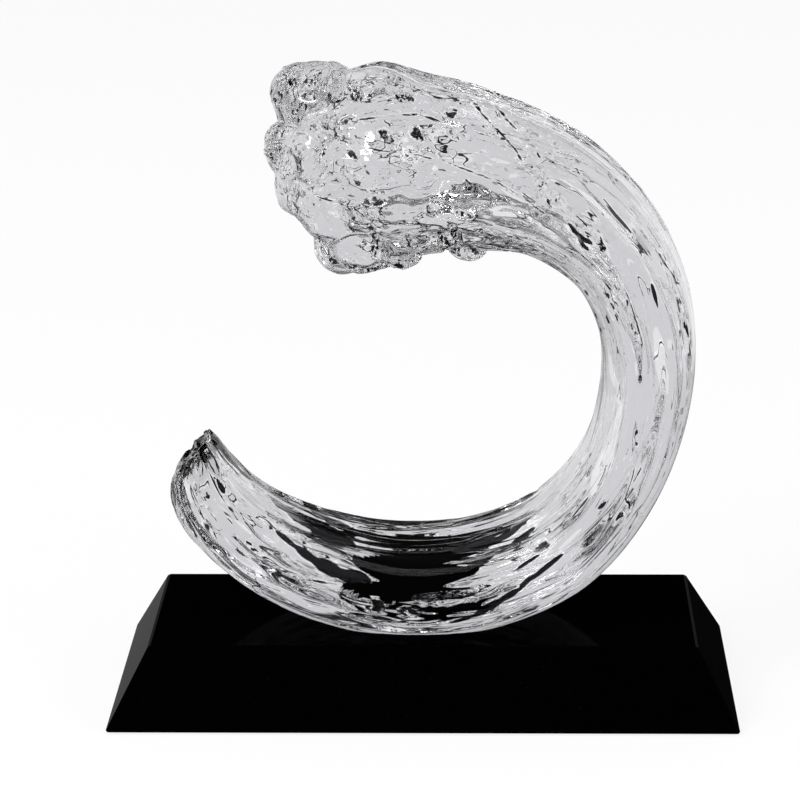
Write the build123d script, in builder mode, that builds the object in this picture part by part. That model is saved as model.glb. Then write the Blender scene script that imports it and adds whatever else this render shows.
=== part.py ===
from build123d import *

import os
from math import copysign, cos, pi, sin

# Glass wave sculpture: a thick stream of clear glass runs over a black glass block, curls up and
# back over itself, and breaks into a foaming crest. It is bonded to the block by its ground foot.
# The origin lies under the middle of the block, on the surface that it stands on. +X runs along
# the block to the right, +Y to the back and +Z up. Lengths are in millimetres.

# Sizes of the block, of the felt under it and of the glue on top of it
base_length = 240.8
base_depth = 113.2
base_height = 29.0
base_top_length = 209.0
base_top_depth = 80.4
base_edge = 0.8
felt_thickness = 0.8
felt_inset = 3.0
felt_corner = 4.0
glue_thickness = 0.2

# Sizes of the wave: the radius of the curl, how thick and how deep the stream is over its foot,
# and how far its underside is ground flat there
curl_radius = 100.0
stream_thickness = 36.0
stream_depth = 70.0
foot_grind = 6.0

# Stations along the middle of the stream, from the tail over the foot and round to the crest.
# Each row holds the place in X and the height over the foot's station as shares of the curl's
# radius, then the thickness and the depth as shares of those over the foot.
station_shares = [
    (-0.893, 0.545, 0.49, 0.36),
    (-0.855, 0.400, 0.78, 0.52),
    (-0.760, 0.275, 0.86, 0.66),
    (-0.602, 0.155, 0.92, 0.79),
    (-0.370, 0.053, 0.98, 0.90),
    (-0.080, 0.000, 1.00, 1.00),
    (0.240, 0.035, 1.00, 1.00),
    (0.540, 0.175, 0.97, 0.97),
    (0.755, 0.445, 0.92, 0.94),
    (0.853, 0.760, 0.97, 0.94),
    (0.850, 1.060, 1.02, 0.94),
    (0.730, 1.340, 1.11, 0.97),
    (0.495, 1.545, 1.31, 1.03),
    (0.200, 1.640, 1.60, 1.11),
    (-0.080, 1.665, 1.92, 1.16),
    (-0.300, 1.680, 1.84, 1.03),
    (-0.440, 1.700, 1.10, 0.66),
]

# The tail end is cut off on a slant to the stream, in degrees
tail_slant = 30.0

# Each cross section is a soft rectangle, with sharper corners at the tail, and its sides carry
# ridges that follow the flow. A row of ridges holds their count round the section, their height
# at the tail and at the crest as shares of the section's half size, and their turn as a share of
# a full turn.
softness = 2.25
tail_softness = 3.4
tail_end_share = 0.30
ring_points = 52
flow_twist_share = 0.14
ridge_shares = [
    (5, 0.018, 0.030, 0.10),
    (8, 0.014, 0.034, 0.27),
]

# Deeper grooves run along the inside of the lower arc. Their height is a share of the section's
# half size, they rise and fade between stations that are shares of the way along the stream, and
# they fade out toward the front between two shares of the way from its middle to its back.
groove_count = 13
groove_share = 0.055
groove_turn_share = 0.60
groove_rise_shares = (0.10, 0.22)
groove_fade_shares = (0.46, 0.62)
groove_front_shares = (-0.70, -0.20)

# Balls of foam that swell out of the crest, in three sizes. The radii and the places in X and Z
# are shares of the crest's thickness, and the places in Y are shares of the stream's depth.
# X and Z are taken from the middle of the thickest station.
great_ball_share = 0.215
great_ball_shares = [
    (-0.400, -0.12, 0.375),
    (-0.415, 0.17, 0.295),
    (-0.120, -0.17, 0.345),
    (-0.090, 0.20, 0.300),
    (-0.370, -0.33, 0.130),
    (-0.370, 0.36, 0.080),
    (-0.360, -0.31, -0.130),
    (-0.350, 0.34, -0.190),
    (-0.080, -0.42, 0.120),
    (-0.060, 0.43, 0.030),
]
middle_ball_share = 0.166
middle_ball_shares = [
    (-0.535, -0.07, 0.400),
    (-0.520, 0.13, 0.350),
    (-0.570, -0.06, 0.110),
    (-0.560, 0.20, 0.050),
    (-0.510, -0.13, -0.100),
    (-0.495, 0.11, -0.130),
    (-0.310, -0.10, -0.430),
    (-0.170, 0.13, -0.470),
    (-0.200, -0.30, -0.370),
    (-0.040, -0.46, -0.120),
]
small_ball_share = 0.124
small_ball_shares = [
    (0.000, -0.13, -0.435),
    (0.010, 0.13, -0.500),
    (0.370, -0.14, -0.390),
    (0.420, 0.12, -0.400),
    (0.120, -0.44, 0.060),
    (0.060, -0.40, -0.270),
    (0.080, 0.42, -0.250),
]

# Heights of the stack: felt, block, glue and the wave's ground foot
base_bottom = felt_thickness
base_top = base_bottom + base_height
foot_height = base_top + glue_thickness
station_height = foot_height + stream_thickness / 2 - foot_grind


def station_place(number):
    """Middle of a cross section, in X and Z."""
    x_share, z_share = station_shares[number][:2]
    return curl_radius * x_share, station_height + curl_radius * z_share


def station_plane(number):
    """Plane of a cross section: its X points out of the curl, its Y to the back."""
    before = station_place(max(number - 1, 0))
    after = station_place(min(number + 1, len(station_shares) - 1))
    run_x, run_z = after[0] - before[0], after[1] - before[1]
    x, z = station_place(number)
    plane = Plane(origin=(x, 0, z), x_dir=(run_z, 0, -run_x), z_dir=(run_x, 0, run_z))
    return plane.rotated((0, -tail_slant, 0)) if number == 0 else plane


def part_way(share, start_share, end_share):
    """How far a share has gone from one share to another, from 0 to 1."""
    return min(max((share - start_share) / (end_share - start_share), 0), 1)


def ring_outline(number):
    """Points of a cross section, with its flow ridges and grooves."""
    thickness_share, depth_share = station_shares[number][2:]
    half_thickness = stream_thickness * thickness_share / 2
    half_depth = stream_depth * depth_share / 2
    along = number / (len(station_shares) - 1)
    twist = 2 * pi * flow_twist_share * along
    corner = softness + (tail_softness - softness) * (1 - part_way(along, 0, tail_end_share))
    groove = groove_share * part_way(along, *groove_rise_shares)
    groove *= 1 - part_way(along, *groove_fade_shares)
    points = []
    for index in range(ring_points):
        angle = 2 * pi * index / ring_points
        swell = 1
        for count, tail_share, crest_share, turn_share in ridge_shares:
            ridge = tail_share + (crest_share - tail_share) * along
            swell += ridge * cos(count * (angle - twist) + 2 * pi * turn_share)
        inner = max(-cos(angle), 0) * part_way(sin(angle), *groove_front_shares)
        swell += groove * inner * cos(groove_count * (angle - twist) + 2 * pi * groove_turn_share)
        across = copysign(abs(cos(angle)) ** (2 / corner), cos(angle))
        deep = copysign(abs(sin(angle)) ** (2 / corner), sin(angle))
        points.append((half_thickness * across * swell, half_depth * deep * swell))
    return points


crest_shares = max(station_shares, key=lambda shares: shares[2])
crest_thickness = stream_thickness * crest_shares[2]
crest_x, crest_z = station_place(station_shares.index(crest_shares))


def ball_places(shares):
    """Middles of the foam balls of one size."""
    places = []
    for x_share, y_share, z_share in shares:
        x = crest_x + crest_thickness * x_share
        z = crest_z + crest_thickness * z_share
        places.append((x, stream_depth * y_share, z))
    return places


# Wave: one piece of clear glass
with BuildPart() as wave:
    for number in range(len(station_shares)):
        with BuildSketch(station_plane(number)):
            with BuildLine():
                Spline(*ring_outline(number), periodic=True)
            make_face()
    loft()
    with Locations(*ball_places(great_ball_shares)):
        Sphere(crest_thickness * great_ball_share)
    with Locations(*ball_places(middle_ball_shares)):
        Sphere(crest_thickness * middle_ball_share)
    with Locations(*ball_places(small_ball_shares)):
        Sphere(crest_thickness * small_ball_share)
    split(bisect_by=Plane.XY.offset(foot_height), keep=Keep.TOP)
wave.part.label = "wave"

# Glue film: the clear bond under the ground foot, as wide as the foot itself
with BuildPart() as glue_film:
    foot_face = wave.faces().sort_by(Axis.Z)[0]
    extrude(foot_face, amount=glue_thickness, dir=(0, 0, -1))
glue_film.part.label = "glue_film"

# Base block: black glass with slanted sides and narrow polished edges
with BuildPart() as base_block:
    with BuildSketch(Plane.XY.offset(base_bottom)):
        Rectangle(base_length, base_depth)
    with BuildSketch(Plane.XY.offset(base_top)):
        Rectangle(base_top_length, base_top_depth)
    loft()
    chamfer(base_block.edges(), base_edge)
base_block.part.label = "base_block"

# Felt sheet: stuck under the block, a little smaller than it
with BuildPart() as felt_sheet:
    with BuildSketch():
        RectangleRounded(base_length - 2 * felt_inset, base_depth - 2 * felt_inset, felt_corner)
    extrude(amount=felt_thickness)
felt_sheet.part.label = "felt_sheet"

# Each piece is written as a file of its own
os.makedirs("parts", exist_ok=True)
for piece in (wave, glue_film, base_block, felt_sheet):
    label = piece.part.label
    size = piece.part.bounding_box().size
    export_step(piece.part, f"parts/{label}.step")
    print(f"{label}: {size.X:.1f} x {size.Y:.1f} x {size.Z:.1f} mm, {piece.part.volume:.0f} mm3")
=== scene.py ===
# %% [markdown]
# Glass wave sculpture
#
# A thick stream of clear glass runs over a black glass block, curls up and back over itself, and
# breaks into a foaming crest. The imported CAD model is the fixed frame: it gives every size and
# place, and the pieces made here are fitted into it. All lengths are in metres.

# %% Load the frame
from functools import partial
from math import cos, pi, radians, sin

import bmesh
import bpy
import numpy as np
from mathutils import Matrix, Vector


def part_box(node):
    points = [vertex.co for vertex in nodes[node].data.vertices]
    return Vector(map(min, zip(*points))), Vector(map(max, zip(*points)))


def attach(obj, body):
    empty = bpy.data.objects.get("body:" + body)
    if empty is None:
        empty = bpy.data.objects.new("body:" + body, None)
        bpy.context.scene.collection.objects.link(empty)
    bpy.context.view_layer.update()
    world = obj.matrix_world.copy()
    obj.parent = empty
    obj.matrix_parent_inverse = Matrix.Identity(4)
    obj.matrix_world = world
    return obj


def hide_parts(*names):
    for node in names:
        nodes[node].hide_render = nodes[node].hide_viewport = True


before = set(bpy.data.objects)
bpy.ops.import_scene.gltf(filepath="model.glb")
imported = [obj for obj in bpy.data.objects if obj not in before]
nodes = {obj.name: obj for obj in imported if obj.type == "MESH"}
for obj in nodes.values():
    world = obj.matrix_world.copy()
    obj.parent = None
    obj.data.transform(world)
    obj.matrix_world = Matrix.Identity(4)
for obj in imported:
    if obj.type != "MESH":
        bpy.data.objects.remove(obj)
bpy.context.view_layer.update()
MM = 0.001
for name in sorted(nodes):
    low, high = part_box(name)
    print(name, "size in mm:", [round((b - a) / MM, 1) for a, b in zip(low, high)])

# %% [markdown]
# The camera
#
# The photograph was taken from 17 degrees above, a little to the right of straight ahead, with a
# long lens. Those angles were fitted to the eight corners of the block, so the same camera makes
# the block and the wave fall where the photograph has them.

# %% Place the camera
def add_object(name, data):
    """A new object in the scene."""
    made = bpy.data.objects.new(name, data)
    bpy.context.collection.objects.link(made)
    return made


camera_target = Vector((-8.83, 0, 115.5)) * MM
camera_distance = 1199.6 * MM
camera_elevation = radians(17)
camera_azimuth = radians(1.76)
camera_roll = radians(-0.54)

back = Vector((
    sin(camera_azimuth) * cos(camera_elevation),
    -cos(camera_azimuth) * cos(camera_elevation),
    sin(camera_elevation),
))
camera_data = bpy.data.cameras.new("camera")
camera_data.lens = 140.4
camera_data.sensor_width = 36
camera_data.clip_start = 0.01
camera = add_object("camera", camera_data)
turn = back.to_track_quat("Z", "Y").to_matrix().to_4x4() @ Matrix.Rotation(camera_roll, 4, "Z")
camera.matrix_world = Matrix.Translation(camera_target + camera_distance * back) @ turn
bpy.context.scene.camera = camera
bpy.context.scene.view_settings.view_transform = "Standard"

# %% [markdown]
# Helpers for node trees
#
# Node trees are long to write out, so a few small helpers add a node, fill its inputs, do
# arithmetic and open the sockets of a tree. Every tree below is built with them.

# %% Helpers for nodes
def fill_inputs(tree, node, inputs):
    """Fills the inputs of a node with numbers or with links."""
    for key, value in inputs.items():
        socket = node.inputs[key]
        if isinstance(value, bpy.types.NodeSocket):
            tree.links.new(value, socket)
        else:
            socket.default_value = value


def add_node(tree, kind, inputs=None, **settings):
    """Adds a node, sets its options, then fills its inputs."""
    made = tree.nodes.new(kind)
    for name, value in settings.items():
        setattr(made, name, value)
    fill_inputs(tree, made, inputs or {})
    return made


def calculate(tree, operation, *values, clamp=False):
    """Arithmetic on numbers or sockets. Further values join the first two one by one."""
    if len(values) > 2:
        values = (calculate(tree, operation, *values[:-1]), values[-1])
    inputs = dict(enumerate(values))
    return add_node(tree, "ShaderNodeMath", inputs, operation=operation, use_clamp=clamp).outputs[0]


def sums_for(tree):
    """Four short names for arithmetic in one tree: any step, add, subtract and multiply."""
    steps = [partial(calculate, tree, name) for name in ("ADD", "SUBTRACT", "MULTIPLY")]
    return partial(calculate, tree), *steps


def vector_step(tree, operation, *values):
    """One step of arithmetic on vectors."""
    inputs = dict(enumerate(values))
    if operation == "SCALE":
        inputs = {0: values[0], "Scale": values[1]}
    return add_node(tree, "ShaderNodeVectorMath", inputs, operation=operation).outputs[0]


def join_vector(tree, x=0.0, y=0.0, z=0.0):
    """A vector from three numbers or sockets."""
    return add_node(tree, "ShaderNodeCombineXYZ", {0: x, 1: y, 2: z}).outputs[0]


def split_vector(tree, vector):
    """The X, Y and Z of a vector."""
    return add_node(tree, "ShaderNodeSeparateXYZ", {0: vector}).outputs


def cell_pattern(tree, vector, scale, feature="F1", **more):
    """A Voronoi pattern of cells."""
    inputs = {"Vector": vector, "Scale": scale, "Randomness": 1.0, **more}
    return add_node(tree, "ShaderNodeTexVoronoi", inputs, feature=feature).outputs


def open_sockets(tree, wanted):
    """Gives a tree its named inputs, each with its start value."""
    for name, kind, value in wanted:
        socket = tree.interface.new_socket(name, in_out="INPUT", socket_type=f"NodeSocket{kind}")
        if value is not None:
            socket.default_value = value
    return tree.nodes.new("NodeGroupInput").outputs


def value_socket(sockets):
    """The Value socket that the chosen kind of data uses."""
    return [socket for socket in sockets if socket.name == "Value" and socket.enabled][0]


def ramp(tree, value, low, high, to_low=0.0, to_high=1.0):
    """A soft step from to_low to to_high as value goes from low to high."""
    inputs = {"Value": value, "From Min": low, "From Max": high, "To Min": to_low, "To Max": to_high}
    return add_node(tree, "ShaderNodeMapRange", inputs, interpolation_type="SMOOTHSTEP").outputs[0]


# %% [markdown]
# The stream of glass
#
# On the real object the stream was gathered hot and pulled along, so every cross section is the
# same soft rectangle, grown, shrunk and twisted a little along the way. That is a rule, so
# Geometry Nodes make it: a bare grid is rolled into a tube round a curve. The curve's stations
# are the CAD's own: place in X, height over the foot's station, thickness and depth, all as
# shares. The rings lie closer in the crest, where the foam needs them.

# %% Stations of the stream
curl_radius = 100 * MM
stream_thickness = 36 * MM
stream_depth = 70 * MM
foot_grind = 6 * MM
foot_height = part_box("wave")[0][2]
station_height = foot_height + stream_thickness / 2 - foot_grind
station_shares = [
    (-0.893, 0.545, 0.49, 0.36),
    (-0.855, 0.400, 0.78, 0.52),
    (-0.760, 0.275, 0.86, 0.66),
    (-0.602, 0.155, 0.92, 0.79),
    (-0.370, 0.053, 0.98, 0.90),
    (-0.080, 0.000, 1.00, 1.00),
    (0.240, 0.035, 1.00, 1.00),
    (0.540, 0.175, 0.97, 0.97),
    (0.755, 0.445, 0.92, 0.94),
    (0.853, 0.760, 0.97, 0.94),
    (0.850, 1.060, 1.02, 0.94),
    (0.730, 1.340, 1.11, 0.97),
    (0.495, 1.545, 1.31, 1.03),
    (0.200, 1.640, 1.60, 1.11),
    (-0.080, 1.665, 1.92, 1.16),
    (-0.300, 1.680, 1.84, 1.03),
    (-0.440, 1.700, 1.10, 0.66),
]
crest_station = 14

path_mesh = bpy.data.meshes.new("stream_path")
path_points = [(curl_radius * x, 0, station_height + curl_radius * z) for x, z, _, _ in station_shares]
path_mesh.from_pydata(path_points, [(i, i + 1) for i in range(len(path_points) - 1)], [])
half_sizes = path_mesh.attributes.new("half_size", "FLOAT_VECTOR", "POINT")
for number, (_, _, thickness_share, depth_share) in enumerate(station_shares):
    station_share = number / (len(station_shares) - 1)
    row = (stream_thickness * thickness_share / 2, stream_depth * depth_share / 2, station_share)
    half_sizes.data[number].vector = row
stream = add_object("wave_of_glass", path_mesh)


# %% Store, read and finish in a tree
def stored_value(tree, name, kind="FLOAT"):
    """A value that the points carry, as a field."""
    return add_node(tree, "GeometryNodeInputNamedAttribute", {"Name": name}, data_type=kind).outputs[0]


def store_value(tree, shape, name, value, kind):
    """Stores a field on the points of a shape under a name."""
    inputs = {"Geometry": shape, "Name": name}
    settings = {"data_type": kind, "domain": "POINT"}
    stored = add_node(tree, "GeometryNodeStoreNamedAttribute", inputs, **settings)
    tree.links.new(value, value_socket(stored.inputs))
    return stored.outputs[0]


def finish_tree(tree, shape, material):
    """Ends a tree: real geometry with its material."""
    shape = add_node(tree, "GeometryNodeRealizeInstances", {"Geometry": shape}).outputs[0]
    shape = {"Geometry": shape, "Material": material}
    shape = add_node(tree, "GeometryNodeSetMaterial", shape).outputs[0]
    add_node(tree, "NodeGroupOutput", {0: shape})


# %% Grow the stream round its path
def build_stream_tree():
    """The tree that rolls a grid into the stream."""
    tree = bpy.data.node_groups.new("stream_of_glass", "GeometryNodeTree")
    tree.interface.new_socket("Geometry", in_out="OUTPUT", socket_type="NodeSocketGeometry")
    wanted = [
        ("Path", "Geometry", None),
        ("Around", "Int", 340),
        ("Cap rings", "Int", 12),
        ("Stem rings", "Int", 156),
        ("Crest rings", "Int", 100),
        ("Dome rings", "Int", 22),
        ("Stem share", "Float", 0.78),
        ("Stem cells", "Float", 7.0),
        ("Crest cells", "Float", 6.0),
        ("Cell width", "Float", 10 * MM),
        ("Dome length", "Float", 10 * MM),
        ("Softness", "Float", 2.25),
        ("Tail softness", "Float", 3.4),
        ("Tail end", "Float", 0.30),
        ("Twist turns", "Float", 0.14),
        ("Groove count", "Float", 13.0),
        ("Groove share", "Float", 0.055),
        ("Tail slant", "Float", radians(30)),
        ("Material", "Material", None),
    ]
    given = open_sockets(tree, wanted)
    calc, plus, minus, times = sums_for(tree)

    first_rings = plus(given["Cap rings"], given["Stem rings"])
    total = plus(first_rings, plus(given["Crest rings"], given["Dome rings"]))
    sides = {"Size X": total, "Size Y": 1.0, "Vertices X": plus(total, 1)}
    sides["Vertices Y"] = plus(given["Around"], 1)
    grid = add_node(tree, "GeometryNodeMeshGrid", sides)
    place = split_vector(tree, tree.nodes.new("GeometryNodeInputPosition").outputs[0])
    ring = plus(place[0], calc("DIVIDE", total, 2.0))
    angle = times(plus(place[1], 0.5), 2 * pi)

    # How far a ring is through the cap, the stem, the crest and the dome, each from 0 to 1
    shares = []
    left = ring
    for part in ("Cap rings", "Stem rings", "Crest rings", "Dome rings"):
        shares.append(calc("DIVIDE", left, given[part], clamp=True))
        left = minus(left, given[part])
    cap, stem, crest, dome = shares
    along = plus(times(stem, given["Stem share"]), times(crest, minus(1.0, given["Stem share"])))
    dome_angle = times(dome, pi / 2)
    shrink = times(cap, calc("COSINE", dome_angle))
    bulge = times(calc("SINE", dome_angle), given["Dome length"])

    curve = add_node(tree, "GeometryNodeMeshToCurve", {0: given["Path"]}).outputs[0]
    curve = add_node(tree, "GeometryNodeCurveSplineType", {0: curve}, spline_type="CATMULL_ROM").outputs[0]
    curve = {"Geometry": curve, "Resolution": 32}
    curve = add_node(tree, "GeometryNodeSetSplineResolution", curve).outputs[0]
    size = stored_value(tree, "half_size", "FLOAT_VECTOR")
    kind = {"data_type": "FLOAT_VECTOR", "mode": "FACTOR", "use_all_curves": False}
    sample = add_node(tree, "GeometryNodeSampleCurve", **kind)
    tree.links.new(curve, sample.inputs["Curves"])
    tree.links.new(along, sample.inputs["Factor"])
    tree.links.new(size, value_socket(sample.inputs))
    half_thickness, half_depth, station = split_vector(tree, value_socket(sample.outputs))
    heart = sample.outputs["Position"]
    run = sample.outputs["Tangent"]

    # The first ring stands on a slant, and the slant fades out over the first rings
    slant = times(given["Tail slant"], minus(1.0, times(stem, 12.0, clamp=True)))
    slanted = {"Vector": run, "Angle": slant, "Axis": (0, -1, 0)}
    slanted = add_node(tree, "ShaderNodeVectorRotate", slanted, rotation_type="AXIS_ANGLE")
    outward = vector_step(tree, "CROSS_PRODUCT", (0, 1, 0), slanted.outputs[0])

    # The corners of a section are sharper at the tail
    tail = minus(1.0, calc("DIVIDE", station, given["Tail end"], clamp=True))
    corner = times(minus(given["Tail softness"], given["Softness"]), tail)
    corner = plus(given["Softness"], corner)

    def soft_side(wave):
        power = calc("DIVIDE", 2.0, corner)
        return times(calc("POWER", calc("ABSOLUTE", wave), power), calc("SIGN", wave))

    turned = minus(angle, times(station, given["Twist turns"], 2 * pi))
    swell = 1.0
    ridges = [(5, 0.018, 0.030, 0.10), (8, 0.014, 0.034, 0.27)]
    for count, tail_height, crest_height, turn_share in ridges:
        height = plus(times(station, crest_height - tail_height), tail_height)
        wave = calc("COSINE", plus(times(turned, count), 2 * pi * turn_share))
        swell = plus(swell, times(wave, height))

    # Deeper grooves run along the inside of the lower arc, rise and fade along it, and fade out
    # toward the front
    rise = calc("DIVIDE", minus(station, 0.10), 0.12, clamp=True)
    fade = calc("DIVIDE", minus(0.62, station), 0.16, clamp=True)
    inner = calc("MAXIMUM", times(calc("COSINE", angle), -1.0), 0.0)
    behind = calc("DIVIDE", plus(calc("SINE", angle), 0.70), 0.50, clamp=True)
    groove = times(times(rise, fade), times(inner, behind, given["Groove share"]))
    wave = calc("COSINE", plus(times(turned, given["Groove count"]), 2 * pi * 0.60))
    swell = plus(swell, times(wave, groove))
    swell = plus(times(minus(swell, 1.0), calc("COSINE", dome_angle)), 1.0)
    reach = times(swell, shrink)
    across = times(soft_side(calc("COSINE", angle)), half_thickness, reach)
    deep = times(soft_side(calc("SINE", angle)), half_depth, reach)

    offset = vector_step(tree, "SCALE", outward, across)
    offset = vector_step(tree, "ADD", offset, join_vector(tree, 0.0, deep, 0.0))
    offset = vector_step(tree, "ADD", offset, vector_step(tree, "SCALE", run, bulge))
    spot = vector_step(tree, "ADD", heart, offset)
    cells = plus(times(stem, given["Stem cells"]), times(crest, given["Crest cells"]))
    cells = plus(cells, calc("DIVIDE", bulge, given["Cell width"]))
    cells = minus(cells, minus(1.0, cap))
    flow = [calc("DIVIDE", side, given["Cell width"]) for side in (across, deep)]
    flow = join_vector(tree, cells, *flow)

    shape = store_value(tree, grid.outputs["Mesh"], "heart", heart, "FLOAT_VECTOR")
    shape = store_value(tree, shape, "flow", flow, "FLOAT_VECTOR")
    shape = store_value(tree, shape, "foam", ramp(tree, along, 0.66, 0.9), "FLOAT")
    shape = {"Geometry": shape, "Position": spot}
    shape = {"Geometry": add_node(tree, "GeometryNodeSetPosition", shape).outputs[0]}
    shape["Distance"] = MM / 1000
    shape = {"Geometry": add_node(tree, "GeometryNodeMergeByDistance", shape).outputs[0]}
    shape = add_node(tree, "GeometryNodeSetShadeSmooth", shape).outputs[0]
    finish_tree(tree, shape, given["Material"])
    return tree


def grow(piece, tree, material):
    """Runs a tree on a piece and turns the result into a plain mesh."""
    modifier = piece.modifiers.new(tree.name, "NODES")
    modifier.node_group = tree
    names = {item.name: item.identifier for item in tree.interface.items_tree if item.in_out == "INPUT"}
    modifier[names["Material"]] = material
    graph = bpy.context.evaluated_depsgraph_get()
    seen = piece.evaluated_get(graph)
    layers = {"preserve_all_data_layers": True, "depsgraph": graph}
    mesh = bpy.data.meshes.new_from_object(seen, **layers)
    piece.modifiers.remove(modifier)
    piece.data = mesh
    return mesh


glass = bpy.data.materials.new("clear_glass")
grow(stream, build_stream_tree(), glass)
print("stream:", len(stream.data.vertices), "vertices,", len(stream.data.polygons), "faces")

# %% [markdown]
# The foam of the crest
#
# The foam swells out of the crest as balls of glass, in the CAD's three sizes with a spray of
# smaller ones over them. Each point of the stream looks outward from the stream's heart, and
# moves out to the furthest ball that it meets. The step is softened, as molten glass is.

# %% Balls of foam
rim_share = 0.12
crest_thickness = stream_thickness * station_shares[crest_station][2]
crest_x = curl_radius * station_shares[crest_station][0]
crest_z = station_height + curl_radius * station_shares[crest_station][1]
ball_shares = {
    0.215: [
        (-0.400, -0.12, 0.375), (-0.415, 0.17, 0.295), (-0.120, -0.17, 0.345), (-0.090, 0.20, 0.300),
        (-0.370, -0.33, 0.130), (-0.370, 0.36, 0.080), (-0.360, -0.31, -0.130), (-0.350, 0.34, -0.190),
        (-0.080, -0.42, 0.120), (-0.060, 0.43, 0.030),
    ],
    0.166: [
        (-0.535, -0.07, 0.400), (-0.520, 0.13, 0.350), (-0.570, -0.06, 0.110), (-0.560, 0.20, 0.050),
        (-0.510, -0.13, -0.100), (-0.495, 0.11, -0.130), (-0.310, -0.10, -0.430), (-0.170, 0.13, -0.470),
        (-0.200, -0.30, -0.370), (-0.040, -0.46, -0.120),
    ],
    0.124: [
        (0.000, -0.13, -0.435), (0.010, 0.13, -0.500), (0.370, -0.14, -0.390), (0.420, 0.12, -0.400),
        (0.120, -0.44, 0.060), (0.060, -0.40, -0.270), (0.080, 0.42, -0.250),
    ],
}


def read_points(mesh, name="position"):
    """A mesh attribute of vectors as rows of numbers."""
    values = np.empty(len(mesh.vertices) * 3)
    mesh.attributes[name].data.foreach_get("vector", values)
    return values.reshape(-1, 3)


def read_numbers(mesh, name):
    """A mesh attribute of single numbers."""
    values = np.empty(len(mesh.vertices))
    mesh.attributes[name].data.foreach_get("value", values)
    return values


def write_points(mesh, points):
    """Moves a mesh's points."""
    mesh.attributes["position"].data.foreach_set("vector", points.ravel())
    mesh.update()


def swell_foam(mesh, balls, softness):
    """Moves points out to the balls that they meet, with soft steps."""
    points = read_points(mesh)
    heart = read_points(mesh, "heart")
    arm = points - heart
    reach = np.linalg.norm(arm, axis=1) + 1e-9
    ray = arm / reach[:, None]
    foamy = read_numbers(mesh, "foam") > 0
    total = np.exp(reach / softness)
    for middle, radius in balls:
        to_ball = middle - heart
        near = np.einsum("ij,ij->i", ray, to_ball)
        inside = near ** 2 - np.einsum("ij,ij->i", to_ball, to_ball) + radius ** 2
        hit = foamy & (inside > 0) & (near > 0)
        far = near[hit] + np.sqrt(inside[hit])
        edge = np.clip(inside[hit] / (rim_share * radius ** 2), 0, 1)
        total[hit] += edge * np.exp(far / softness)
    new_reach = np.log(total) * softness
    write_points(mesh, heart + ray * new_reach[:, None])


balls = []
for radius_share, places in ball_shares.items():
    for x_share, y_share, z_share in places:
        middle = (
            crest_x + crest_thickness * x_share,
            stream_depth * y_share,
            crest_z + crest_thickness * z_share,
        )
        balls.append((np.array(middle), crest_thickness * radius_share))

# The spray sits mostly on the front and the back of the foam, where the photograph is rough
ball_softness = 1.6 * MM
spray_softness = 0.5 * MM
spray_per_ball = 5
spray_spread = (0.7, 1.6, 0.7)
spray_shares = (0.020, 0.045)
spray_sink = 0.6
spray_seed = 11
chance = np.random.default_rng(spray_seed)
spray = []
for middle, radius in balls:
    for _ in range(spray_per_ball):
        way = chance.normal(size=3) * spray_spread
        way /= np.linalg.norm(way)
        small = chance.uniform(*spray_shares) * crest_thickness
        spray.append((middle + way * (radius - spray_sink * small), small))
swell_foam(stream.data, balls, ball_softness)
swell_foam(stream.data, spray, spray_softness)
print("foam balls:", len(balls), "large and", len(spray), "small")

# %% [markdown]
# Marks in the glass
#
# Some marks are where they are in the photograph. Chips dent the skin and bands of frost tilt it, and the
# finish also paints their black and white edges, which are painted shade and painted highlights. The dark
# lines are painted shade and the bright slivers painted highlights: the dark and the light round the wave,
# as the glass bends and mirrors them, painted into its tint. Calm stretches have nothing in them. Each is
# a line seen from the front, given by its half width and then the X and Z of its corners, in millimetres.
# Every point of the skin stores how near it is to such a line, for the relief and the finish.

# %% Place the marks
# Chips dent the skin, and the finish paints their black and white edges: painted shade and painted
# highlights.
chipped_marks = [
    (2, -46.5, 244, -46, 240.5), (2, -43, 238.6, -38.5, 238), (3.6, -25.5, 240.5, -22, 239),
    (2.2, -8.5, 239.2, -2.3, 237.8), (2.2, 9.1, 232.4, 13.7, 233.6), (2.2, -28, 230.7, -22.9, 232),
    (2.6, -13.9, 228.5, -9.5, 226.5), (2.6, -2.5, 229.5, 1, 225.5), (2, -26, 221.4, -23, 219.6),
    (2.8, -20, 203.5, -12.5, 204.3), (2.2, 3.3, 201.7, 5.5, 198.5), (1.8, 13.8, 199, 18.6, 197.3),
    (2.6, -17.5, 194, -16, 180), (2.4, -33.7, 174.2, -24, 175.5), (2.2, -5.9, 187.8, -3, 185),
    (2.2, -2.5, 177.5, 0.5, 177), (3, 12.1, 192.5, 14.5, 184), (2.8, 14.5, 179.5, 20, 180.5),
    (2, 21.4, 190.8, 23, 189.8), (1.8, 55.5, 192.6, 58.5, 189), (2.8, 59, 188, 63.3, 183.8),
    (1.6, 68, 168.5, 69.5, 164), (2.4, 70.3, 162, 73.5, 154.6), (1.4, 80.6, 112.5, 80.9, 107),
    (1.8, 67.3, 82.5, 69, 84), (2, 74, 79, 77, 81), (2.4, 43, 65.5, 47.5, 68),
    (4.4, -20.5, 43.8, -15, 43.8), (3.6, -8.5, 42.8, -2, 40.8), (1.8, -28, 40.2, -12, 38.4),
    (3, -93.5, 90, -89.5, 94), (2.6, -88.5, 96.5, -87, 98.5), (1.8, -82.5, 78.5, -81.8, 77.2),
    (1.8, -58, 86.5, -53, 83), (3.2, 9, 181, 14, 176.5), (2.4, -34, 175.5, -25, 171.5),
    (2.6, -13, 173.5, -7, 171.5), (2.8, 15, 183, 21, 177.5), (2.2, 7, 189.5, 10, 184),
]
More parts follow.
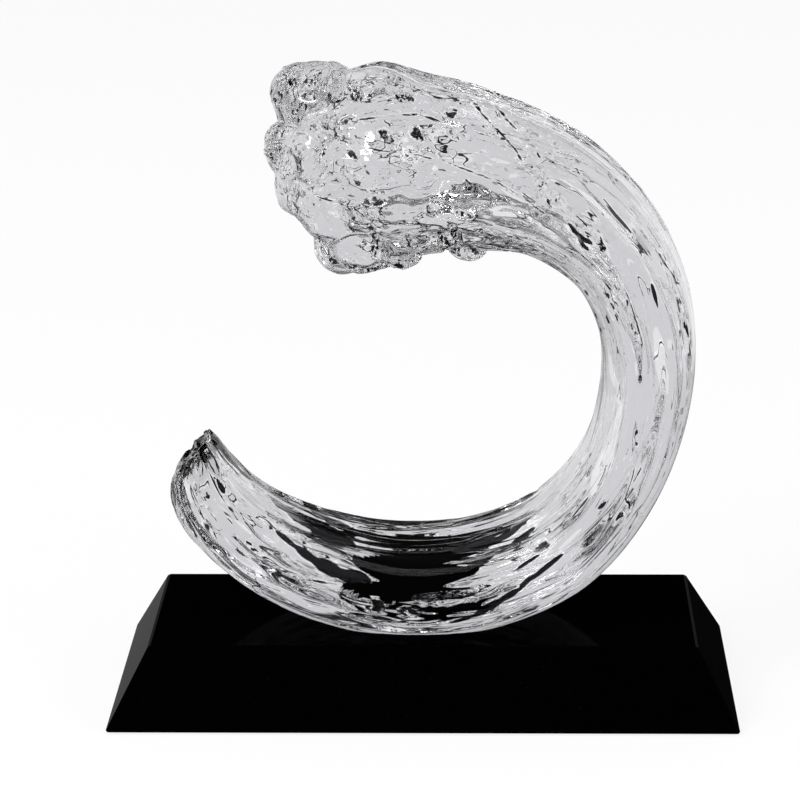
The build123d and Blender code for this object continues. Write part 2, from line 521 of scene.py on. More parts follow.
# Frost tilts the skin in grains, and the finish also paints the grains lighter and darker: painted light
# and shade.
frosted_marks = [
    (3.4, 42, 209.5, 56, 198), (4.2, 56, 198, 69, 183), (2, 69.5, 175.5, 77, 161, 82.5, 145),
    (3, 89.6, 179.5, 97.2, 166), (8, -55, 220, -47, 206), (3.5, -52, 242, -49, 229),
    (3, 22.9, 229.5, 30.6, 225), (3.4, 25.5, 190, 37.5, 184.5), (3.6, -18, 208, -13, 197),
    (4.5, -17, 190, -14, 178), (2, -4, 46.5, 18.3, 49.1, 29, 54), (3, -95.4, 89, -94, 84),
    (3.4, -94, 84, -91.3, 76), (3, -62, 74.5, -38.5, 60.5), (2, -73, 69, -58, 60.5),
    (4, -46, 236, -36, 229), (3, 4, 184, 12, 182), (4, 14, 181.5, 23, 178), (3.4, -12, 175, -2, 173),
]
# Dark lines are painted shade: the dark round the wave, as the glass bends it, painted into the tint.
painted_shade_marks = [
    (1.5, 11, 37.2, 20, 40.6), (2.4, 20, 40.6, 30, 46.6), (2, 30, 46.6, 36.5, 50.5),
    (1.4, 36.5, 50.5, 41.5, 55.5), (1.5, -56, 70, -48, 64), (2.6, -48, 64, -41, 59.5),
    (4.2, -41, 59.5, -31, 54.5), (4.6, -31, 54.5, -21, 52.5), (2.4, -94.5, 90.5, -88, 97.5),
    (1.6, 41.5, 54.5, 53, 64), (1.6, -78.5, 88, -75.7, 83.6), (1.2, 85.3, 170.3, 87.5, 162.1),
    (0.9, 69, 199, 77.5, 189.5), (1.1, 36, 58, 44, 63.5),
]
# Hair lines are painted: a dark core with white sides, painted shade and painted highlights.
painted_hair_marks = [
    (3, 67.5, 201.5, 77.5, 189.5, 84.5, 170), (3, 88.5, 165, 93.8, 143.6), (3, 69, 176, 72.5, 166),
    (3, 72.5, 176, 78, 162, 82.9, 145),
    (3, -11, 248, -1, 246, 9.5, 241.5, 18.5, 236, 26.5, 229, 34, 222, 40, 214),
    (3, 12, 243, 24, 236.5, 36, 226), (3, -21, 224, -7, 222, 10.5, 217, 27.5, 210, 38, 203.5, 47, 196.5),
    (3, -25, 231.5, -12, 233.5, 0.5, 233.5, 10.5, 229.5), (3, -41, 205, -24.5, 201.5, -18, 196),
    (3, 82.9, 99.5, 79, 91.5, 73.6, 86.3), (3, 56, 77, 63, 86), (3, -88, 91.5, -82.5, 92.5, -78, 84),
    (3, 60, 64, 70, 76), (3, 50, 204, 60, 192), (3, -10, 196, 12, 193, 30, 188), (3, -78, 84, -66, 68),
    (3, -80.9, 56.1, -68, 53.8, -46, 53.3, -31.5, 51), (3, -68.5, 51.5, -53, 47),
    (3, -57.5, 52, -43, 47.5, -34.1, 45.5), (3, -46, 42.5, -35, 41.5, -26.5, 38.5),
]
# Bright marks are painted highlights.
painted_highlight_marks = [
    (3.2, 87.3, 152.5, 91, 128), (3.6, 4.7, 226.6, 9.8, 226), (2.4, -19, 228, -16.5, 227.5),
    (3.4, -0.5, 181.5, 5.5, 186), (3.6, 71.5, 105.5, 64.5, 88), (1.6, 68, 148, 74.6, 121, 72, 106),
    (2.2, -26, 245, -17, 245), (1.2, -38.3, 187, -37.2, 176), (0.9, 66, 190, 70, 180),
    (1, 30, 207, 42, 199), (1.2, 52, 66, 60, 74), (3.4, 20, 202.5, 36, 197.5), (4, 36, 197.5, 50, 188),
    (2.8, 26, 190, 44, 185), (2.4, -90, 76, -83, 64), (3, -83, 64, -72, 50),
]
calm_marks = [
    (12, -32, 200, -31, 178), (9, 60, 208, 78, 194), (6, 76, 184, 83, 165), (8, 75, 150, 84, 115),
    (8, -84, 92, -70, 70), (7, 12, 222, 24, 218), (7, -30, 50, 20, 45), (7, 45, 58, 66, 78),
    (6, 0, 212, 26, 203), (8, -28, 58, 16, 54), (9, 60, 72, 76, 100), (3, 60, 180, 70, 160),
    (5, -70, 94, -50, 78), (4, 64, 176, 66, 170), (6, -72, 60, -40, 46), (6, 28, 196, 48, 187),
]
# Black bands on the inner face, on both sides of the foot, are given in X and Y. They are painted shade:
# the black block as the glass bends it, painted into the tint.
painted_block_bands = [
    (3, -58, -4, -52, -6), (5.5, -52, -6, -43, -9), (7.5, -43, -9, -28, -14), (4, -47, 12, -38, 5),
    (6, -38, 5, -24, -2), (3.8, 8, 7.5, 26, 8.5), (5, 26, 8.5, 42, 8), (4, 42, 8, 50, 13),
    (3.6, 12, -15, 30, -15.5), (3.4, 30, -15.5, 41, -10.5), (3.6, 17, -28.5, 27, -24.3),
    (3.4, 27, -24.3, 42, -17.5),
]
calm_back_marks = [
    (16, 0, 198, 26, 184), (14, -36, 190, -26, 172), (10, 58, 70, 80, 104), (12, 46, 50, 64, 70),
    (9, -78, 54, -40, 42),
]


def nearness(points, marks, axes=(0, 2)):
    """One on the line of a mark, falling to nothing at its half width."""
    best = np.zeros(len(points))
    flat = points[:, axes] / MM
    for half_width, *places in marks:
        corners = np.array(places, dtype=float).reshape(-1, 2)
        for start, end in zip(corners, corners[1:]):
            line = end - start
            share = np.clip((flat - start) @ line / max(line @ line, 1), 0, 1)
            taper = half_width * (1 - 0.5 * np.abs(2 * share - 1) ** 3)
            away = np.linalg.norm(flat - start - share[:, None] * line, axis=1)
            best = np.maximum(best, np.clip(1 - away / taper, 0, 1))
    return best


# Most marks lie on the front and on the tail's end, and some calm stretches on the back. The
# inner side is where the flow runs along the inside of the curl, low on the wave.
side_depth = 8 * MM
tail_end_x = -86 * MM
inner_flow = -1.15
inner_height = 100 * MM
points = read_points(stream.data)
front_side = (points[:, 1] < -side_depth) | (points[:, 0] < tail_end_x)
back_side = points[:, 1] > side_depth
inner_side = (read_points(stream.data, "flow")[:, 1] < inner_flow) & (points[:, 2] < inner_height)
all_marks = {
    "chipped": chipped_marks,
    "frosted": frosted_marks,
    "painted_shade_line": painted_shade_marks,
    "painted_hair_line": painted_hair_marks,
    "painted_highlight": painted_highlight_marks,
    "calm": calm_marks,
}
for name, marks in all_marks.items():
    near = np.where(front_side, nearness(points, marks), 0)
    if name == "calm":
        near = np.where(back_side, nearness(points, calm_back_marks), near)
    if name == "painted_shade_line":
        near = np.maximum(near, np.where(inner_side, nearness(points, painted_block_bands, (0, 1)), 0))
    stored = stream.data.attributes.new(name, "FLOAT", "POINT")
    stored.data.foreach_set("value", near)
    print(name, "marks:", len(marks))

# %% [markdown]
# The relief of the flow
#
# Pulled glass is smooth in long leaves, and the leaves meet in narrow creases that run with the
# flow. In the foam the same leaves are short and round. One tree makes both, because the stored
# flow coordinate is stretched along the stem and even in the crest. Cells of a Voronoi pattern
# give the leaves, the distance to their edges gives the creases, and noise gives the fine lines.

# %% Read the flow in a tree
def noise_step(tree, vector, scale, detail=2.0, shift=0):
    """Soft noise between minus a half and a half."""
    if shift:
        vector = vector_step(tree, "ADD", vector, (shift, 2 * shift, 3 * shift))
    inputs = {"Vector": vector, "Scale": scale, "Detail": detail, "Roughness": 0.5}
    return calculate(tree, "SUBTRACT", add_node(tree, "ShaderNodeTexNoise", inputs).outputs["Fac"], 0.5)


def leaf_edges(tree, flow):
    """How far a spot of the flow is from the nearest edge of its leaf."""
    bend = join_vector(tree, *[noise_step(tree, flow, 0.9, shift=shift) for shift in (1, 13, 29)])
    warped = vector_step(tree, "ADD", flow, vector_step(tree, "SCALE", bend, 1.5))
    warped = vector_step(tree, "MULTIPLY", warped, (0.5, 1.0, 1.0))
    return cell_pattern(tree, warped, 1.15, "DISTANCE_TO_EDGE")["Distance"]


# %% Raise the relief
def build_relief_tree():
    """The tree that creases the skin of the stream."""
    tree = bpy.data.node_groups.new("flow_relief", "GeometryNodeTree")
    tree.interface.new_socket("Geometry", in_out="OUTPUT", socket_type="NodeSocketGeometry")
    wanted = [
        ("Skin", "Geometry", None),
        ("Crease depth", "Float", 0.6 * MM),
        ("Ridge height", "Float", 2.2 * MM),
        ("Furrow depth", "Float", 1.2 * MM),
        ("Line height", "Float", 0.07 * MM),
        ("Cell height", "Float", 0.8 * MM),
        ("Facet depth", "Float", 2.5 * MM),
        ("Slot depth", "Float", 0.9 * MM),
        ("Material", "Material", None),
    ]
    given = open_sockets(tree, wanted)

    calc, plus, minus, times = sums_for(tree)
    noise = partial(noise_step, tree)
    flow = stored_value(tree, "flow", "FLOAT_VECTOR")
    foam = stored_value(tree, "foam")
    lively = ramp(tree, stored_value(tree, "calm"), 0.0, 0.5, 1.0, 0.0)
    along, across, deep = split_vector(tree, flow)

    crease = ramp(tree, leaf_edges(tree, flow), 0.0, 0.06, 1.0, 0.0)
    patch = ramp(tree, noise(flow, 0.5, shift=3), -0.14, 0.04)
    crease = times(crease, times(patch, given["Crease depth"]))
    ridge_flow = vector_step(tree, "MULTIPLY", flow, (0.35, 1.0, 1.0))
    ridge = times(noise(ridge_flow, 1.1, 1.0, shift=5), given["Ridge height"])
    stem_share = ramp(tree, along, 3.1, 3.8, 1.0, 0.6)
    stem_share = calc("MAXIMUM", stem_share, ramp(tree, along, 6.8, 7.6, 0.0, 1.0))
    calm_share = ramp(tree, stored_value(tree, "calm"), 0.0, 0.5, 1.0, 0.5)
    ridge = times(ridge, stem_share, calm_share)

    # Deep furrows run along the inner face over the block, and show it in black bands
    inner = times(
        ramp(tree, across, -0.3, -1.0),
        ramp(tree, along, 0.7, 1.3),
        ramp(tree, along, 3.3, 4.0, 1.0, 0.0),
        ramp(tree, deep, -1.7, -0.9),
    )
    sway = plus(times(deep, 2.6), times(noise(ridge_flow, 0.8, 2.0, shift=11), 4.5))
    furrow = minus(calc("PINGPONG", sway, 1.0), 0.5)
    ridge = plus(ridge, times(furrow, inner, given["Furrow depth"]))
    fine_flow = vector_step(tree, "MULTIPLY", flow, (0.9, 5.0, 5.0))
    line = times(noise(fine_flow, 1.0, 3.0), given["Line height"])

    cell = cell_pattern(tree, flow, 2.1, "SMOOTH_F1", Smoothness=0.3)["Distance"]
    patch = times(foam, ramp(tree, noise(flow, 0.6, shift=7), -0.16, 0.06))
    cell = times(minus(0.4, cell), times(patch, given["Cell height"]))

    # The broken end of the tail is faceted
    end = ramp(tree, along, -0.05, 0.12, 1.0, 0.0)
    facet = times(cell_pattern(tree, flow, 0.9)["Distance"], end, given["Facet depth"])

    slot = plus(stored_value(tree, "chipped"), times(noise(flow, 4.0, 2.0), 0.8))
    slot = times(ramp(tree, slot, 0.2, 0.5), given["Slot depth"])
    detail = times(minus(plus(line, cell), crease), lively)
    height = minus(plus(ridge, detail), plus(slot, facet))
    normal = tree.nodes.new("GeometryNodeInputNormal").outputs[0]
    move = vector_step(tree, "SCALE", normal, height)
    shape = add_node(tree, "GeometryNodeSetPosition", {"Geometry": given["Skin"], "Offset": move})
    finish_tree(tree, shape.outputs[0], given["Material"])
    return tree


def face_outwards(mesh):
    """Turns a closed mesh the right way out."""
    shape = bmesh.new()
    shape.from_mesh(mesh)
    if shape.calc_volume(signed=True) < 0:
        bmesh.ops.reverse_faces(shape, faces=shape.faces)
    shape.to_mesh(mesh)
    shape.free()


face_outwards(stream.data)
grow(stream, build_relief_tree(), glass)

# %% [markdown]
# The ground foot
#
# The real wave is ground flat where it is bonded to the block, and clear glue fills the joint.
# Where the glue holds, the block shows black through the glass; round it a hair of air mirrors
# the light. Here the bonded skin is pressed a hair into the block's top, so that no light slips
# between, and the rest of the foot stops a hair above it.

# %% Press the foot flat
bond_overlap = 0.15 * MM
bond_gap = 0.35 * MM
block_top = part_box("base_block")[1][2]
bond_front = 0.8 * MM
bond_middle = -7 * MM
bond_curve_left = 0.020 / MM
bond_curve_right = 0.009 / MM
bond_ragged = 0.7 * MM
bond_waves = ((0.48 / MM, 1.0, 0.0), (1.1 / MM, 0.6, 0.7))
points = read_points(stream.data)
off_x = points[:, 0] - bond_middle
curve = np.where(off_x < 0, bond_curve_left, bond_curve_right)
ragged = sum(height * np.sin(pace * off_x + start) for pace, height, start in bond_waves)
front_edge = bond_front + curve * off_x ** 2 + bond_ragged * ragged
bonded = points[:, 1] > front_edge
lowest = np.where(bonded, block_top - bond_overlap, block_top + bond_gap)
points[:, 2] = np.maximum(points[:, 2], lowest)
write_points(stream.data, points)
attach(stream, "root")
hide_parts("wave")
print("foot points on the block:", int((bonded & (points[:, 2] < block_top)).sum()))

# %% [markdown]
# The finish of the clear glass
#
# Clear glass has almost no colour of its own, so what is seen is what it bends and mirrors. One Principled
# shader with full transmission does that, with a light grey tint. The photograph also shows chips with
# sharp black and white edges, granular frost, and hair lines between the leaves, too fine for a mesh. The
# chips and the frost are real and tilt the skin. Their black and white edges, the frost's lighter and
# darker grains, the hair lines, dark lines, streaks, slivers and glints are painted shade and painted
# highlights: the dark and the light round the wave, as the glass bends and mirrors them, painted into its
# tint. They are masks on the stored flow coordinate, so they follow the glass, and they darken, lighten or
# tilt it.

# %% Helpers for finishes
def cleared_tree(owner):
    """The empty node tree of a material or of the world."""
    owner.use_nodes = True
    owner.node_tree.nodes.clear()
    return owner.node_tree


def open_material(material):
    """Clears a material and gives its tree and its Principled shader."""
    tree = cleared_tree(material)
    shader = tree.nodes.new("ShaderNodeBsdfPrincipled")
    add_node(tree, "ShaderNodeOutputMaterial", {"Surface": shader.outputs[0]})
    return tree, shader


tree, shader = open_material(glass)
calc, plus, minus, times = sums_for(tree)
flow = add_node(tree, "ShaderNodeAttribute", attribute_name="flow").outputs["Vector"]


def stored_mark(name):
    """A number that the skin carries."""
    return add_node(tree, "ShaderNodeAttribute", attribute_name=name).outputs["Fac"]


def mask(*settings, low, high, **more):
    """A patch of noise between two levels."""
    return ramp(tree, noise_step(tree, *settings, **more), low, high)


def both(*masks):
    """Where every mask is open."""
    return calculate(tree, "MULTIPLY", *masks)


def either(*masks):
    """Where any mask is open."""
    return calculate(tree, "MAXIMUM", *masks)


def stretched(along, around):
    """The flow coordinate, finer where the numbers are larger."""
    return vector_step(tree, "MULTIPLY", flow, (along, around, around))


def contour(noise, level, near, far):
    """A thin line where a noise passes a level."""
    return ramp(tree, calc("ABSOLUTE", minus(noise, level)), near, far, 1.0, 0.0)


# %% Chips and frost, with painted shade and highlights
foam = stored_mark("foam")
ragged = times(noise_step(tree, flow, 4.0, 2.0), 0.8)
marked = {}
painted_highlight_rims = []
for name in ("painted_shade_line", "chipped", "frosted", "painted_highlight", "calm"):
    level = plus(stored_mark(name), times(ragged, 0.25 if name == "painted_shade_line" else 1.0))
    marked[name] = ramp(tree, level, 0.36, 0.42)
    # Thin white rims round the dark lines and the chips are painted highlights.
    if name in ("painted_shade_line", "chipped"):
        painted_highlight_rims.append(both(ramp(tree, level, 0.12, 0.16), ramp(tree, level, 0.28, 0.34, 1.0, 0.0)))
# Hair lines: a dark core with white sides, painted shade and painted highlights.
hair = plus(stored_mark("painted_hair_line"), times(ragged, 0.35))
hair_share = mask(stretched(2.0, 3.0), 1.0, 3.0, low=-0.06, high=-0.02, shift=71)
hair_painted_shade = both(hair_share, ramp(tree, hair, 0.89, 0.92))
hair_painted_highlight = both(hair_share, ramp(tree, hair, 0.74, 0.78), ramp(tree, hair, 0.86, 0.89, 1.0, 0.0))
lively = minus(1.0, marked["calm"])

bend = [noise_step(tree, flow, 5.0, 2.0, shift=shift) for shift in (0, 4, 8)]
bend = vector_step(tree, "SCALE", join_vector(tree, *bend), 0.5)
bent = vector_step(tree, "ADD", stretched(3.0, 1.0), bend)
shard = cell_pattern(tree, bent, 4.2)["Color"]
grain = cell_pattern(tree, bent, 9.0)["Color"]
shard_parts = split_vector(tree, shard)
grain_parts = split_vector(tree, grain)
band = both(lively, mask(stretched(0.7, 2.2), 0.8, 3.0, low=0.17, high=0.19, shift=37))
foam_band = both(foam, lively, mask(stretched(0.6, 1.5), 0.9, 3.0, low=0.10, high=0.12, shift=41))
chipped = either(marked["chipped"], band, foam_band)
frosted = both(marked["frosted"], minus(1.0, chipped))
# The chips' black and white shards are painted shade and painted highlights.
chip_painted_shade = minus(either(times(marked["chipped"], 0.55), 0.14), shard_parts[0])
chip_painted_shade = both(chipped, ramp(tree, chip_painted_shade, 0.0, 0.02))
chip_painted_highlight = both(chipped, ramp(tree, shard_parts[1], 0.80, 0.82))
# Dark grains in the frost are painted shade.
frost_painted_shade = both(frosted, ramp(tree, grain_parts[0], 0.90, 0.92))

# %% Painted lines and streaks
edge = leaf_edges(tree, flow)
broken = both(lively, mask(stretched(1.2, 2.0), 0.8, 3.0, low=0.02, high=0.05, shift=3))
curl = noise_step(tree, stretched(0.5, 1.2), 0.9, 4.0, shift=61)
foam_curl = noise_step(tree, stretched(0.9, 1.4), 1.6, 4.0, shift=67)
# Dark lines along the leaves' edges and the curls are painted shade, with painted highlights beside them.
line_painted_shade = either(ramp(tree, edge, 0.008, 0.013, 1.0, 0.0), contour(curl, 0.02, 0.003, 0.006))
line_painted_shade = either(line_painted_shade, both(foam, contour(foam_curl, 0.0, 0.006, 0.012)))
edge_painted_highlight = both(ramp(tree, edge, 0.013, 0.018), ramp(tree, edge, 0.028, 0.038, 1.0, 0.0))
line_painted_highlight = either(edge_painted_highlight, contour(curl, 0.033, 0.006, 0.010))
line_painted_highlight = either(line_painted_highlight, both(foam, contour(foam_curl, 0.03, 0.008, 0.016)))
# Long dark streaks and blots are painted shade; slivers and glints are painted highlights.
long_streaks = mask(stretched(0.8, 7.0), 1.0, 2.0, low=0.24, high=0.25)
painted_dark_streak = both(lively, long_streaks, mask(flow, 0.8, 2.0, low=0.02, high=0.06, shift=19))
painted_bright_sliver = mask(stretched(0.45, 2.0), 1.0, 1.0, low=0.23, high=0.25, shift=31)
painted_dark_blot = both(foam, lively, mask(stretched(1.0, 1.6), 1.2, 4.0, low=0.225, high=0.23, shift=53))
painted_glint = both(foam, lively, mask(stretched(1.0, 1.6), 1.1, 3.0, low=0.23, high=0.25, shift=57))

# %% Clear glass
# All painted shade joins in one mask, and all painted highlights in another.
painted_shade = either(chip_painted_shade, frost_painted_shade, both(line_painted_shade, broken), painted_dark_streak, painted_dark_blot)
painted_shade = either(painted_shade, marked["painted_shade_line"], hair_painted_shade)
white = either(chip_painted_highlight, both(line_painted_highlight, broken), painted_bright_sliver, painted_glint, marked["painted_highlight"], hair_painted_highlight)
white = either(white, both(either(*painted_highlight_rims), ramp(tree, ragged, -0.06, 0.0)))
facing = split_vector(tree, tree.nodes.new("ShaderNodeTexCoord").outputs["Normal"])
front = ramp(tree, facing[1], -0.05, -0.35)


def blend_colour(tree, share, low, high):
    """One colour giving way to another."""
    return add_node(tree, "ShaderNodeMix", {0: share, 6: low, 7: high}, data_type="RGBA").outputs[2]


def blend_value(tree, share, low, high):
    """One number giving way to another."""
    return add_node(tree, "ShaderNodeMix", {0: share, 2: low, 3: high}, data_type="FLOAT").outputs[0]


def raise_surface(tree, height, distance, strength):
    """The normal of a surface that a height raises."""
    inputs = {"Height": height, "Distance": distance, "Strength": strength}
    return add_node(tree, "ShaderNodeBump", inputs).outputs[0]


# The frost's grains are tinted lighter and darker, which is painted light and shade over the real frost.
# Painted shade is near black where the skin faces the front and grey where it faces back; painted
# highlights are white.
frost_and_painted_light_tint = blend_colour(tree, grain_parts[1], (0.52, 0.52, 0.54, 1), (0.98, 0.98, 1.0, 1))
painted_shade_tint = blend_colour(tree, front, (0.2, 0.2, 0.205, 1), (0.0004, 0.0004, 0.0005, 1))
tint = blend_colour(tree, frosted, (0.66, 0.66, 0.686, 1), frost_and_painted_light_tint)
tint = blend_colour(tree, white, tint, (1, 1, 1, 1))
tint = blend_colour(tree, painted_shade, tint, painted_shade_tint)
place = tree.nodes.new("ShaderNodeTexCoord").outputs["Object"]
height = times(noise_step(tree, place, 900.0, 2.0), either(chipped, frosted))
bump = raise_surface(tree, height, distance=0.3 * MM, strength=1.0)
tilt = vector_step(tree, "SUBTRACT", blend_colour(tree, frosted, shard, grain), (0.5, 0.5, 0.5))
tilt = vector_step(tree, "SCALE", tilt, either(times(chipped, 0.9), times(frosted, 0.35)))
tilted = vector_step(tree, "NORMALIZE", vector_step(tree, "ADD", bump, tilt))
look = {"Base Color": tint, "Normal": tilted, "Roughness": 0.0, "IOR": 1.5, "Transmission Weight": 1.0}
fill_inputs(tree, shader, look)
print("clear glass nodes:", len(tree.nodes))

# %% [markdown]
# The felt sheet
#
# A thin sheet of black felt is stuck under the block, so that the block doesn't scratch what it
# stands on. A plain box would do for its size, but cut felt has round corners and a soft edge.
# So one outline is stacked in four rings, the first and last drawn in a little, and both flat
# faces are closed.

# %% Cut the felt
felt_low, felt_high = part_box("felt_sheet")
felt_corner = 4 * MM
felt_soft_edge = 0.25 * MM
corner_steps = 8


def rounded_outline(half_length, half_depth, corner):
    """Points round a rectangle with round corners."""
    points = []
    for quarter, (x_side, y_side) in enumerate([(1, 1), (-1, 1), (-1, -1), (1, -1)]):
        for step in range(corner_steps + 1):
            angle = pi / 2 * (quarter + step / corner_steps)
            x = x_side * (half_length - corner) + corner * cos(angle)
            y = y_side * (half_depth - corner) + corner * sin(angle)
            points.append((x, y))
    return points


felt_middle = (felt_low + felt_high) / 2
felt_half = (felt_high - felt_low) / 2
felt_points = []
for height, inset in (
    (felt_low[2], felt_soft_edge),
    (felt_low[2] + felt_soft_edge, 0),
    (felt_high[2] - felt_soft_edge, 0),
    (felt_high[2], felt_soft_edge),
):
    ring = rounded_outline(felt_half[0] - inset, felt_half[1] - inset, felt_corner - inset)
    felt_points += [(felt_middle[0] + x, felt_middle[1] + y, height) for x, y in ring]
ring_size = len(felt_points) // 4
felt_faces = [tuple(reversed(range(ring_size))), tuple(range(3 * ring_size, 4 * ring_size))]
for level in range(3):
    for index in range(ring_size):
        here = level * ring_size + index
        beside = level * ring_size + (index + 1) % ring_size
        felt_faces.append((here, beside, beside + ring_size, here + ring_size))
felt_mesh = bpy.data.meshes.new("sheet_of_felt")
felt_mesh.from_pydata(felt_points, [], felt_faces)
face_outwards(felt_mesh)
felt_sheet = add_object("sheet_of_felt", felt_mesh)
felt = bpy.data.materials.new("felt")
felt_mesh.materials.append(felt)
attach(felt_sheet, "root")
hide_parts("felt_sheet")

# %% [markdown]
# Dust
#
# Nothing stays perfectly clean on a table. The block catches a few specks of dust and a faint
# uneven haze, the felt catches lint, and the glue has trapped tiny bubbles. All three are fine
# specks over a slow unevenness, so one shader node group makes them, and each finish places it
# with its own size and amount.

# %% Specks and haze as a node group
def build_specks_group():
    """A shader group that scatters specks over a surface, with a slow haze."""
    group = bpy.data.node_groups.new("specks_and_haze", "ShaderNodeTree")
    for name in ("Specks", "Haze"):
        group.interface.new_socket(name, in_out="OUTPUT", socket_type="NodeSocketFloat")
    wanted = [
        ("Place", "Vector", None),
        ("Speck scale", "Float", 900.0),
        ("Speck share", "Float", 0.1),
        ("Haze scale", "Float", 30.0),
    ]
    given = open_sockets(group, wanted)
    cell = cell_pattern(group, given["Place"], given["Speck scale"])
    chance = split_vector(group, cell["Color"])[0]
    chosen = calculate(group, "LESS_THAN", chance, given["Speck share"])
    specks = calculate(group, "MULTIPLY", ramp(group, cell["Distance"], 0.10, 0.22, 1.0, 0.0), chosen)
    haze = {"Vector": given["Place"], "Scale": given["Haze scale"], "Detail": 4.0}
    haze = add_node(group, "ShaderNodeTexNoise", haze).outputs["Fac"]
    add_node(group, "NodeGroupOutput", {"Specks": specks, "Haze": ramp(group, haze, 0.35, 0.65)})
    return group


specks_group = build_specks_group()


def place_specks(tree, speck_scale, speck_share, haze_scale):
    """Puts the group in a finish and gives its place, its specks and its haze."""
    place = tree.nodes.new("ShaderNodeTexCoord").outputs["Object"]
    inputs = {"Place": place, "Speck scale": speck_scale, "Speck share": speck_share}
    inputs["Haze scale"] = haze_scale
    step = add_node(tree, "ShaderNodeGroup", inputs, node_tree=specks_group)
    return place, step.outputs["Specks"], step.outputs["Haze"]


# %% [markdown]
# Black glass
#
# The block is polished black glass. In the photograph its top and front are plain black and only
# the slanted ends catch any light, so black cards stood all round it. Its colour is almost
# nothing and its mirror is kept very weak, which gives the same even black without cards that
# would also darken the wave. The haze moves the roughness a little, as wiping does.

# %% Finish of the block
black_glass = bpy.data.materials.new("black_glass")
tree, shader = open_material(black_glass)
place, specks, haze = place_specks(tree, 700.0, 0.05, 35.0)
colour = blend_colour(tree, specks, (0.0004, 0.0004, 0.0005, 1), (0.006, 0.006, 0.006, 1))
roughness = ramp(tree, haze, 0.0, 1.0, 0.045, 0.075)
look = {"Base Color": colour, "Roughness": roughness, "IOR": 1.5, "Specular IOR Level": 0.0015}
fill_inputs(tree, shader, look)

# %% [markdown]
# Clear glue
#
# The film of glue under the foot is as clear as the glass above it, and hardly seen. It has the
# glass's full transmission with no bend of its own. Where air was trapped, tiny bubbles dent it.

# %% Finish of the glue
clear_glue = bpy.data.materials.new("clear_glue")
tree, shader = open_material(clear_glue)
place, specks, haze = place_specks(tree, 500.0, 0.3, 60.0)
colour = blend_colour(tree, haze, (0.74, 0.74, 0.74, 1), (0.84, 0.84, 0.84, 1))
dents = raise_surface(tree, specks, distance=0.05 * MM, strength=0.5)
look = {"Base Color": colour, "Normal": dents, "Roughness": 0.0, "IOR": 1.0, "Transmission Weight": 1.0}
fill_inputs(tree, shader, look)

# %% [markdown]
# Felt
#
# Felt is matted wool: no weave, only short fibres that lie every way and catch light at the
# edge. Two stretched noises cross to give the fibres, which colour and raise the surface, and
# the specks are pale lint.

# %% Finish of the felt
tree, shader = open_material(felt)
place, lint, haze = place_specks(tree, 600.0, 0.08, 50.0)
fibres_along = noise_step(tree, vector_step(tree, "MULTIPLY", place, (0.4, 2.0, 1.0)), 1500.0)
fibres_across = noise_step(tree, vector_step(tree, "MULTIPLY", place, (2.0, 0.4, 1.0)), 1500.0)
fibres = calculate(tree, "MAXIMUM", fibres_along, fibres_across)
fibre_share = ramp(tree, fibres, -0.15, 0.25)
haze_share = calculate(tree, "MULTIPLY", haze, 0.3)
colour = blend_colour(tree, fibre_share, (0.005, 0.005, 0.005, 1), (0.022, 0.022, 0.023, 1))
colour = blend_colour(tree, haze_share, colour, (0.012, 0.012, 0.013, 1))
colour = blend_colour(tree, lint, colour, (0.12, 0.12, 0.115, 1))
raised = raise_surface(tree, fibres, distance=0.2 * MM, strength=0.8)
look = {"Base Color": colour, "Normal": raised, "Roughness": 1.0, "Sheen Weight": 0.2}
fill_inputs(tree, shader, look | {"Sheen Roughness": 0.5})

for name, material in (("base_block", black_glass), ("glue_film", clear_glue)):
    nodes[name].data.materials.clear()
    nodes[name].data.materials.append(material)
    print(name, "nodes in its finish:", len(material.node_tree.nodes))

# %% [markdown]
# Floor
#
# The photograph was cut out on white, with no line where the table ends. The floor is one large
# flat face that is white where the camera or the glass looks at it, and pale matt paper where it
# lights the object, so it keeps the object's soft shadow. Where the polished block mirrors it,
# the floor is dark, and brighter left of the block, as the cards round the real one were.

# %% Floor
floor_mesh = bpy.data.meshes.new("floor")
reach = 8.0
corners = [(-reach, -reach, 0), (reach, -reach, 0), (reach, reach, 0), (-reach, reach, 0)]
floor_mesh.from_pydata(corners, [], [(0, 1, 2, 3)])
floor = add_object("floor", floor_mesh)
paper = bpy.data.materials.new("pale_floor")
tree = cleared_tree(paper)
_, plus, minus, times = sums_for(tree)
path = tree.nodes.new("ShaderNodeLightPath").outputs
seen = either(path["Is Camera Ray"], path["Is Glossy Ray"], path["Is Transmission Ray"])
mirrored = both(path["Is Reflection Ray"], path["Is Glossy Ray"])
spot = tree.nodes.new("ShaderNodeNewGeometry").outputs["Position"]
spot_x, spot_y, _ = split_vector(tree, spot)
away = add_node(tree, "ShaderNodeVectorMath", {0: spot}, operation="LENGTH").outputs["Value"]
far_back = both(ramp(tree, spot_y, 0.0, 0.2), ramp(tree, away, 0.4, 0.6))
near = both(mirrored, minus(1.0, far_back))
strength = blend_value(tree, near, 1.0, ramp(tree, spot_x, -0.12, -0.10, 0.29, 0.015))
matte = add_node(tree, "ShaderNodeBsdfDiffuse", {"Color": (0.85, 0.85, 0.85, 1)})
white = add_node(tree, "ShaderNodeEmission", {"Color": (1, 1, 1, 1), "Strength": strength})
shown = plus(times(seen, 0.85), times(mirrored, 0.15))
mix = add_node(tree, "ShaderNodeMixShader", {0: shown, 1: matte.outputs[0], 2: white.outputs[0]})
add_node(tree, "ShaderNodeOutputMaterial", {"Surface": mix.outputs[0]})
floor_mesh.materials.append(paper)

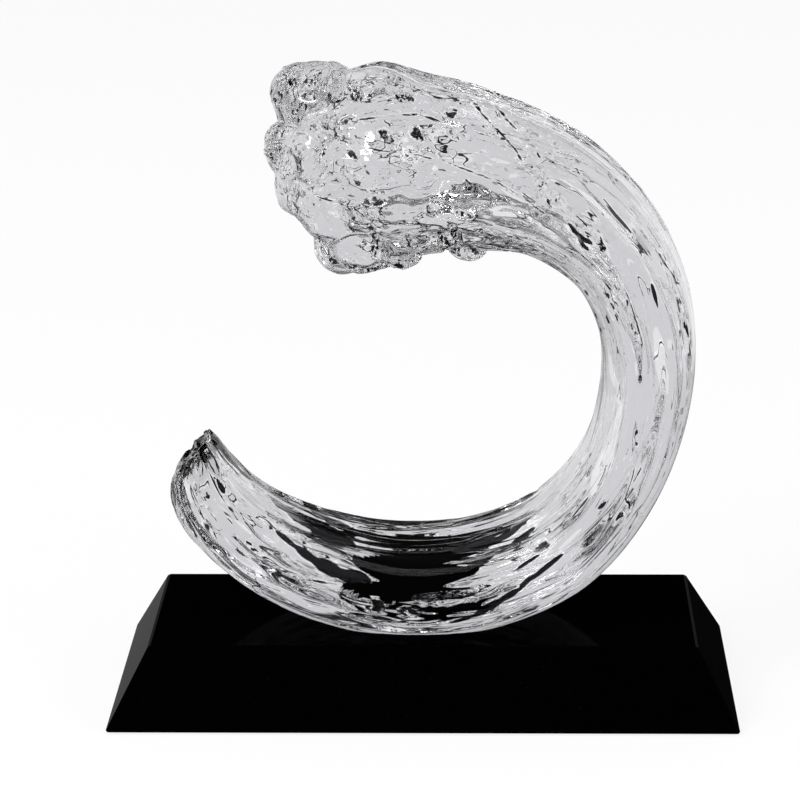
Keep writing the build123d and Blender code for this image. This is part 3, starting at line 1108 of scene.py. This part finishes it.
# %% [markdown]
# World
#
# Clear glass shows what stands round it, so the studio matters more than the lamps. Black cards
# stood in front of the wave and above it, which gives its edges their dark lines, and the rest
# was white. The cards are dark directions of the world, where the glass looks; the camera sees
# plain white, and matt surfaces get an even, plain light.

# %% World
world = bpy.data.worlds.new("studio")
bpy.context.scene.world = world
tree = cleared_tree(world)
calc, _, minus, times = sums_for(tree)
path = tree.nodes.new("ShaderNodeLightPath").outputs
way_x, way_y, way_z = split_vector(tree, tree.nodes.new("ShaderNodeTexCoord").outputs["Generated"])
front_card = both(ramp(tree, way_y, -0.45, -0.25, 1.0, 0.0), ramp(tree, way_z, 0.0, 0.1))
top_card = both(ramp(tree, way_z, 0.26, 0.32), ramp(tree, way_z, 0.44, 0.5, 1.0, 0.0))
studio = minus(1.0, times(either(front_card, top_card), 0.97))
beside = ramp(tree, calc("ABSOLUTE", way_x), 0.5, 0.75)
low = both(ramp(tree, way_z, 0.18, 0.26, 1.0, 0.0), ramp(tree, way_y, -0.3, 0.0))
mirrored = ramp(tree, either(beside, low), 0.0, 1.0, 0.03, 1.0)
level = mirrored
for ray, strength in (("Transmission", studio), ("Diffuse", 0.7), ("Camera", 1.0)):
    level = blend_value(tree, path[f"Is {ray} Ray"], level, strength)
sky = add_node(tree, "ShaderNodeBackground", {"Color": (1, 1, 1, 1), "Strength": level})
add_node(tree, "ShaderNodeOutputWorld", {"Surface": sky.outputs[0]})

# %% [markdown]
# Lamps
#
# Two soft square lamps from the front left and right give the block and the floor their shading.
# They could be sun lamps, but large soft ones leave no hard highlights in the glass.

# %% Lamps
lamp_target = Vector((0, 0, 0.12))


def add_lamp(name, place, size, power):
    """Adds a soft square lamp that looks at the middle of the wave."""
    data = bpy.data.lights.new(name, "AREA")
    data.size = size
    data.energy = power
    lamp = add_object(name, data)
    lamp.location = place
    aim = lamp_target - Vector(place)
    lamp.rotation_euler = aim.to_track_quat("-Z", "Y").to_euler()


add_lamp("key", (-1.2, -0.9, 1.5), size=0.8, power=26)
add_lamp("fill", (1.4, -0.8, 0.9), size=0.8, power=8)
